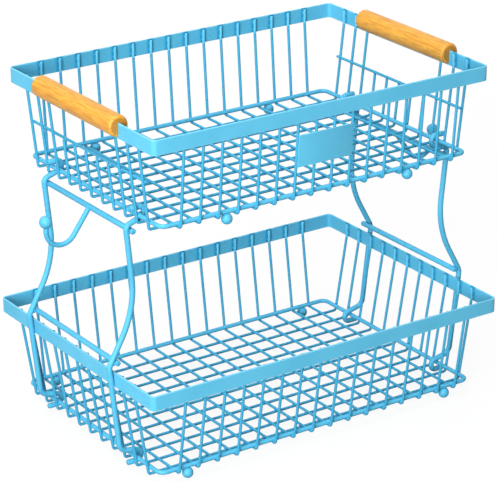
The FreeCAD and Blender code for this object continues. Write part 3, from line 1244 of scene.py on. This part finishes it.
    def rail_surface(self, place: Point) -> Surface:
        """Straight round bar along Y across both legs.

        Args:
            place: Outward X of the leg and of the rail, and their height.

        Returns:
            The rail.
        """
        half = self.leg_y + self.rail_stub
        x, z = self.side.value * place[1], place[2]
        track = bent_track([(x, -half, z), (x, half, z)])
        return self.stock.bar(track, self.stock.rail, X_WAY, self.stock.bar_cut_edge)

    def fruit_surface(self) -> Surface:
        """Round section carried down from the top rail, round the curve and up to the tip."""
        track = bent_track(self.fruit_corners, [self.fruit_bend], CURL_STEPS)
        return self.stock.bar(track, self.stock.fruit_hook, Y_WAY, self.stock.wire_cut_edge)

    def weld_surface(self) -> Surface:
        """Beads between the rails and the legs, at the root of the fruit hook and under its ball.

        Returns:
            The beads.
        """
        sign, slope, out = self.side.value, math.radians(self.fruit_slope_degrees), self.stock.rail / 2
        leg_x, rail_x, height = np.array([self.top_rail, self.rim_rail]).T[..., None]
        _, root_x, root_z = self.top_rail
        root_x, root_z = root_x + out * math.cos(slope), root_z - out * math.sin(slope)
        tip_x, tip_y, tip_z = self.fruit_tip
        tip_z -= self.ball_diameter * self.ball_weld_share
        return weld_beads(
            (Bead.LEG, sign * (leg_x + rail_x) / 2, BOTH_SIGNS.ravel() * self.leg_y, height),
            (Bead.HOOK_ROOT, sign * root_x, 0.0, root_z),
            (Bead.HOOK_TIP, tip_x, tip_y, tip_z),
        )

    def pieces(self) -> list[Piece]:
        """All the stand's pieces.

        Returns:
            The pieces, each with the CAD node that it stands for.
        """
        word = self.side.word
        ball = self.stock.ball(self.fruit_tip, self.ball_diameter)
        legs = [(face.word, self.leg_surface(face)) for face in Face]
        return [Piece(f"{word}_leg_{end}", leg, [f"{word}_{end}_leg"]) for end, leg in legs] + [
            Piece(word + "_top_bar", self.rail_surface(self.top_rail), [word + "_top_rail"]),
            Piece(word + "_rim_bar", self.rail_surface(self.rim_rail), [word + "_rim_rail"]),
            Piece(word + "_fruit_curl", self.fruit_surface(), [word + "_fruit_hook"]),
            Piece(word + "_fruit_tip", ball, [word + "_hook_ball"]),
            Piece(word + "_stand_beads", self.weld_surface()),
        ]


# Studio


def add_aimed(
    name: str, data: bpy.types.Light | bpy.types.Camera, place: Point, target: Point
) -> bpy.types.Object:
    """Add a lamp or a camera that faces a point.

    Args:
        name: Name of the object.
        data: The lamp or the camera.
        place: Where it stands, in metres.
        target: Point that it faces, in metres.

    Returns:
        The object.
    """
    aimed = bpy.data.objects.new(name, data)
    aimed.location = place
    aimed.rotation_euler = (Vector(target) - Vector(place)).to_track_quat("-Z", "Y").to_euler()
    bpy.context.scene.collection.objects.link(aimed)
    return aimed


def seen_directly(add: Adder) -> bpy.types.Node:
    """Add a switch that is 1 for camera, glossy and transmission rays.

    Args:
        add: The function add_node for the tree of the floor or the sky.

    Returns:
        The switch.
    """
    rays = add("LightPath").outputs
    first = add("Math", {"operation": "MAXIMUM", 0: rays["Is Camera Ray"], 1: rays["Is Glossy Ray"]})
    return add("Math", {"operation": "MAXIMUM", 0: first, 1: rays["Is Transmission Ray"]})


@dataclass(frozen=True)
class SweepPaper:
    """Matt white backdrop paper with a faint tooth, which scatters light evenly.

    Its own colour is grey, and a glow for seen rays lifts it to paper white. So the lamps leave a
    faint shadow of the object on it.
    """

    name: str = "white_paper_sweep"
    colour: str = "#5C5C5C"
    tooth: str = "#5A5A5A"
    # The tooth of paper is about 0.3 mm across, and is drawn coarser so that it shows.
    tooth_mm: float = 6.0
    tooth_octaves: float = 2.0
    tooth_stops: Stops = (0.3, 0.7)
    glow: float = 0.885

    def material(self) -> bpy.types.Material:
        """Build the paper: noise in its grey, and the glow added to it.

        Returns:
            The material.
        """
        material = bpy.data.materials.new(self.name)
        add = fresh_tree(material)
        where = add("TexCoord").outputs["Object"]
        grain = {"Scale": per_metre(self.tooth_mm), "Detail": self.tooth_octaves}
        tooth = add("TexNoise", {**grain, "Vector": where})
        stops = list(zip(self.tooth_stops, (self.tooth, self.colour)))
        paper = add("BsdfDiffuse", {"Color": add("ValToRGB", {"stops": stops, "Fac": tooth})})
        level = add("Math", {"operation": "MULTIPLY", 0: seen_directly(add), 1: self.glow})
        glow = add("Emission", {"Color": srgb(WHITE), "Strength": level})
        add("OutputMaterial", {"Surface": add("AddShader", {0: paper, 1: glow})})
        return material


@dataclass(frozen=True)
class AreaLamp:
    """Soft white square lamp, which shiny faces mirror or don't."""

    name: str
    place: Point
    size: float
    watts: float
    mirrored: bool = True

    def build(self, target: Point) -> None:
        """Add the lamp.

        Args:
            target: Point that the lamp faces, in metres.
        """
        data = bpy.data.lights.new(self.name, "AREA")
        data.shape = "SQUARE"
        data.size = self.size
        data.energy = self.watts
        add_aimed(self.name, data, self.place, target).visible_glossy = self.mirrored


@dataclass(frozen=True)
class Studio:
    """White sweep, soft lamps and the photograph's camera, in metres."""

    camera_place: Point = (-1.15937, -1.68842, 0.97813)
    camera_target: Point = (0.01457, 0.02184, 0.13984)
    focal_pixels: float = 2440.5
    image_width: float = 497.0
    sensor_mm: float = 36.0
    clip_range: Pair = (0.05, 50.0)
    sky_strength: float = 0.05
    floor_half: float = 6.0
    paper: SweepPaper = SweepPaper()
    lamps: tuple[AreaLamp, ...] = (
        AreaLamp("key_left", (-1.68, -1.46, 1.5), 1.3, 44.0),
        AreaLamp("key_low", (-1.74, -1.56, 0.4), 1.0, 50.0),
        AreaLamp("top_soft", (-0.3, 0.2, 2.5), 1.8, 46.0),
        AreaLamp("back_fill", (1.15, 1.69, 0.7), 1.4, 20.0, mirrored=False),
    )

    def build(self) -> None:
        """Add the sky, the floor, the lamps and the camera."""
        scene = bpy.context.scene
        scene.view_settings.view_transform = "Standard"
        self.sky()
        self.floor()
        for lamp in self.lamps:
            lamp.build(self.camera_target)
        data = bpy.data.cameras.new("photo_camera")
        data.sensor_width = self.sensor_mm
        data.lens = self.sensor_mm * self.focal_pixels / self.image_width
        data.clip_start, data.clip_end = self.clip_range
        scene.camera = add_aimed("photo_camera", data, self.camera_place, self.camera_target)
        LOG.info("studio: %d lamps, lens %.1f mm", len(self.lamps), data.lens)

    def sky(self) -> None:
        """Make the sky white where it is seen, and dimmer where it lights the object."""
        world = bpy.data.worlds.new("white_sweep_sky")
        add = fresh_tree(world)
        level = add("MapRange", {"To Min": self.sky_strength, "To Max": 1.0, "Value": seen_directly(add)})
        add("OutputWorld", {"Surface": add("Background", {"Color": srgb(WHITE), "Strength": level})})
        bpy.context.scene.world = world

    def floor(self) -> None:
        """Add the floor, a square of paper."""
        half = self.floor_half
        mesh = bpy.data.meshes.new("paper_floor")
        corners = [(-half, -half, 0.0), (half, -half, 0.0), (half, half, 0.0), (-half, half, 0.0)]
        mesh.from_pydata(corners, [], [[0, 1, 2, 3]])
        mesh.materials.append(self.paper.material())
        floor = bpy.data.objects.new("paper_floor", mesh)
        bpy.context.scene.collection.objects.link(floor)


def main() -> None:
    """Build both baskets, the plate, the hand holds, the stands and the studio."""
    logging.basicConfig(level=logging.INFO, format="%(name)s %(message)s")
    finishes = {Slot.COAT: PowderCoat().material(), Slot.WOOD: GripWood().material()}
    upper = WireBasket(
        tier="upper", length=350.0, width=237.0, height=93.4, floor=223.1, end_flare=14.2, side_flare=12.0,
        cross_inset=17.3, length_inset=15.0, foot_gap=3, short_wires=5,
    )
    lower = WireBasket(
        tier="lower", length=372.0, width=258.0, height=95.0, floor=0.0, end_flare=17.7, side_flare=17.0,
        cross_inset=17.3, length_inset=15.5, foot_gap=1,
    )
    works = [upper, lower, LabelPlate(upper)]
    for side in Side:
        works += [HandHold(upper, side), Stand(upper, lower, side)]
    for piece in chain.from_iterable(work.pieces() for work in works):
        mesh = piece.build(finishes[piece.slot]).data
        LOG.info("%s: %d vertices, %d faces", piece.name, len(mesh.vertices), len(mesh.polygons))
    Studio().build()


if __name__ == "__main__":
    main()
